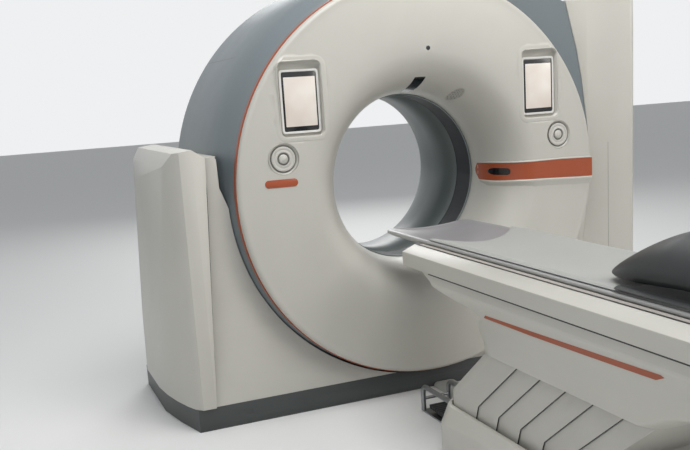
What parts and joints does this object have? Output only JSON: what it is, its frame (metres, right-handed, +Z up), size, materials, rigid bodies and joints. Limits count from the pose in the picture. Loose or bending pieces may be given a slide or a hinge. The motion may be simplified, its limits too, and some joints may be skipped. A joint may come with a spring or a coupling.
{
  "type": "ct scanner",
  "caption": "Computed tomography scanner: a ring-shaped gantry with a round patient bore and a lifting patient table whose top slides into it.",
  "frame": {"origin": "on the floor under the isocentre, in the scan plane", "axes": "+X to the right as seen from the table, +Y along the bore into the gantry, +Z up"},
  "size_m": [2.432, 3.355, 1.989],
  "materials": {
    "white_cover": "warm off-white moulded covers",
    "slat_white": "off-white lacquer",
    "blue_grey_cover": "blue-grey moulded shell",
    "plinth_grey": "dark grey kick plinth",
    "rust_trim": "orange-brown trim",
    "rust_paint": "painted lifting arms",
    "tunnel_grey": "grey tunnel liner",
    "scan_ring": "dark x-ray window",
    "dark_glass": "black window",
    "grille_grey": "pierced grille",
    "tablet_frame": "white bezel",
    "screen": "pale screen",
    "dish_grey": "light grey dish",
    "pad_white": "soft white pad",
    "dark_plastic": "black plastic",
    "dark_steel": "dark painted steel",
    "blue_steel": "blue-grey painted steel",
    "bare_steel": "machined steel",
    "cast_metal": "cast alloy",
    "copper": "wound copper",
    "brass_tracks": "polished tracks",
    "fins": "finned alloy",
    "duct_grey": "light floor duct",
    "tube_steel": "bent tube",
    "black_rubber": "ribbed rubber",
    "rail_alloy": "anodised rail",
    "carbon_top": "light grey tabletop",
    "pad_fabric": "wipe-clean mat",
    "grey_shell": "formed dark shell"
  },
  "bodies": {
    "machine": {"base_frame": "dark_steel", "stator": "blue_steel", "main_bearing": "bare_steel", "drive_coils": "copper", "brush_block": "dark_plastic", "cooling_unit": "blue_steel", "plinth": "plinth_grey", "front_cover": "white_cover", "rim_trim": "rust_trim", "band_shell": "blue_grey_cover", "infill_panel": "blue_grey_cover", "lower_left_cover": "white_cover", "lower_right_cover": "white_cover", "left_side_cover": "white_cover", "right_tower": "white_cover", "rear_cover": "white_cover", "tunnel_liner": "tunnel_grey", "scan_window": "scan_ring", "orange_band": "rust_trim", "status_window": "dark_glass", "laser_windows": "dark_glass", "speaker_grille": "grille_grey", "left_tablet": "tablet_frame", "right_tablet": "tablet_frame", "tablet_screens": "screen", "left_dish": "dish_grey", "right_dish": "dish_grey", "table_base": "dark_steel", "base_cover": "white_cover", "floor_duct": "duct_grey", "foot_guard": "tube_steel"},
    "rotor": {"rotor_drum": "cast_metal", "xray_tube": "bare_steel", "heat_exchanger": "fins", "generator": "blue_steel", "detector_arc": "dark_steel", "collimator": "bare_steel", "slip_ring": "brass_tracks"},
    "lifting_arm_front": {"front_arm": "rust_paint"},
    "lifting_arm_rear": {"rear_arm": "rust_paint"},
    "beam": {"beam_frame": "bare_steel", "beam_cover": "white_cover", "pedestal_cover": "white_cover", "orange_stripe": "rust_trim", "side_rails": "rail_alloy"},
    "sliding_top": {"tabletop": "carbon_top", "carriage": "dark_steel", "mattress": "pad_fabric", "leg_shell": "grey_shell"},
    "pad_left": {"left_pad": "pad_white"},
    "pad_right": {"right_pad": "pad_white"},
    "button_left": {"left_button": "pad_white"},
    "button_right": {"right_button": "pad_white"},
    "pedal": {"foot_pedal": "black_rubber"},
    "cover_slat_1": {"slat_1": "slat_white"},
    "cover_slat_2": {"slat_2": "slat_white"},
    "cover_slat_3": {"slat_3": "slat_white"},
    "cover_slat_4": {"slat_4": "slat_white"},
    "cover_slat_5": {"slat_5": "slat_white"},
    "cover_slat_6": {"slat_6": "slat_white"}
  },
  "joints": [
    {"name": "gantry_rotation", "type": "hinge", "parent": "machine", "child": "rotor", "pos_m": [0, 0, 1.01], "axis": [0, 1, 0], "continuous": true},
    {"name": "table_lift", "type": "hinge", "parent": "machine", "child": "lifting_arm_front", "pos_m": [0, -1.28, 0.165], "axis": [-1, 0, 0], "range_deg": [-28, 2]},
    {"name": "rear_arm_pivot", "type": "hinge", "parent": "machine", "child": "lifting_arm_rear", "pos_m": [0, -1.72, 0.165], "axis": [-1, 0, 0], "range_deg": [-28, 2]},
    {"name": "beam_level", "type": "hinge", "parent": "lifting_arm_front", "child": "beam", "pos_m": [0, -1.70918, 0.52004], "axis": [-1, 0, 0], "range_deg": [-2, 28]},
    {"name": "tabletop_slide", "type": "slide", "parent": "beam", "child": "sliding_top", "axis": [0, 1, 0], "range_m": [-0.38, 1.4]},
    {"name": "slat_1_pivot", "type": "hinge", "parent": "machine", "child": "cover_slat_1", "pos_m": [0, -1.034, 0.165], "axis": [-1, 0, 0], "range_deg": [-28, 2]},
    {"name": "slat_2_pivot", "type": "hinge", "parent": "machine", "child": "cover_slat_2", "pos_m": [0, -1.21, 0.165], "axis": [-1, 0, 0], "range_deg": [-28, 2]},
    {"name": "slat_3_pivot", "type": "hinge", "parent": "machine", "child": "cover_slat_3", "pos_m": [0, -1.345, 0.165], "axis": [-1, 0, 0], "range_deg": [-28, 2]},
    {"name": "slat_4_pivot", "type": "hinge", "parent": "machine", "child": "cover_slat_4", "pos_m": [0, -1.48, 0.165], "axis": [-1, 0, 0], "range_deg": [-28, 2]},
    {"name": "slat_5_pivot", "type": "hinge", "parent": "machine", "child": "cover_slat_5", "pos_m": [0, -1.615, 0.165], "axis": [-1, 0, 0], "range_deg": [-28, 2]},
    {"name": "slat_6_pivot", "type": "hinge", "parent": "machine", "child": "cover_slat_6", "pos_m": [0, -1.75, 0.165], "axis": [-1, 0, 0], "range_deg": [-28, 2]},
    {"name": "left_pad_press", "type": "slide", "parent": "machine", "child": "pad_left", "axis": [0, 1, 0], "range_m": [0, 0.002], "stiffness_N_per_m": 1500, "springref_m": -0.001},
    {"name": "left_button_press", "type": "slide", "parent": "machine", "child": "button_left", "axis": [0, 1, 0], "range_m": [0, 0.003], "stiffness_N_per_m": 1000, "springref_m": -0.001},
    {"name": "right_pad_press", "type": "slide", "parent": "machine", "child": "pad_right", "axis": [0, 1, 0], "range_m": [0, 0.002], "stiffness_N_per_m": 1500, "springref_m": -0.001},
    {"name": "right_button_press", "type": "slide", "parent": "machine", "child": "button_right", "axis": [0, 1, 0], "range_m": [0, 0.003], "stiffness_N_per_m": 1000, "springref_m": -0.001},
    {"name": "pedal_press", "type": "hinge", "parent": "machine", "child": "pedal", "pos_m": [0, -0.9, 0.024], "axis": [1, 0, 0], "range_deg": [-3, 0], "stiffness_Nm_per_rad": 40, "springref_deg": 3.44}
  ],
  "couplings": [
    {"joint": "rear_arm_pivot", "follows": "table_lift", "ratio": 1},
    {"joint": "beam_level", "follows": "table_lift", "ratio": -1},
    {"joint": "slat_1_pivot", "follows": "table_lift", "ratio": 1},
    {"joint": "slat_2_pivot", "follows": "table_lift", "ratio": 1},
    {"joint": "slat_3_pivot", "follows": "table_lift", "ratio": 1},
    {"joint": "slat_4_pivot", "follows": "table_lift", "ratio": 1},
    {"joint": "slat_5_pivot", "follows": "table_lift", "ratio": 1},
    {"joint": "slat_6_pivot", "follows": "table_lift", "ratio": 1}
  ]
}
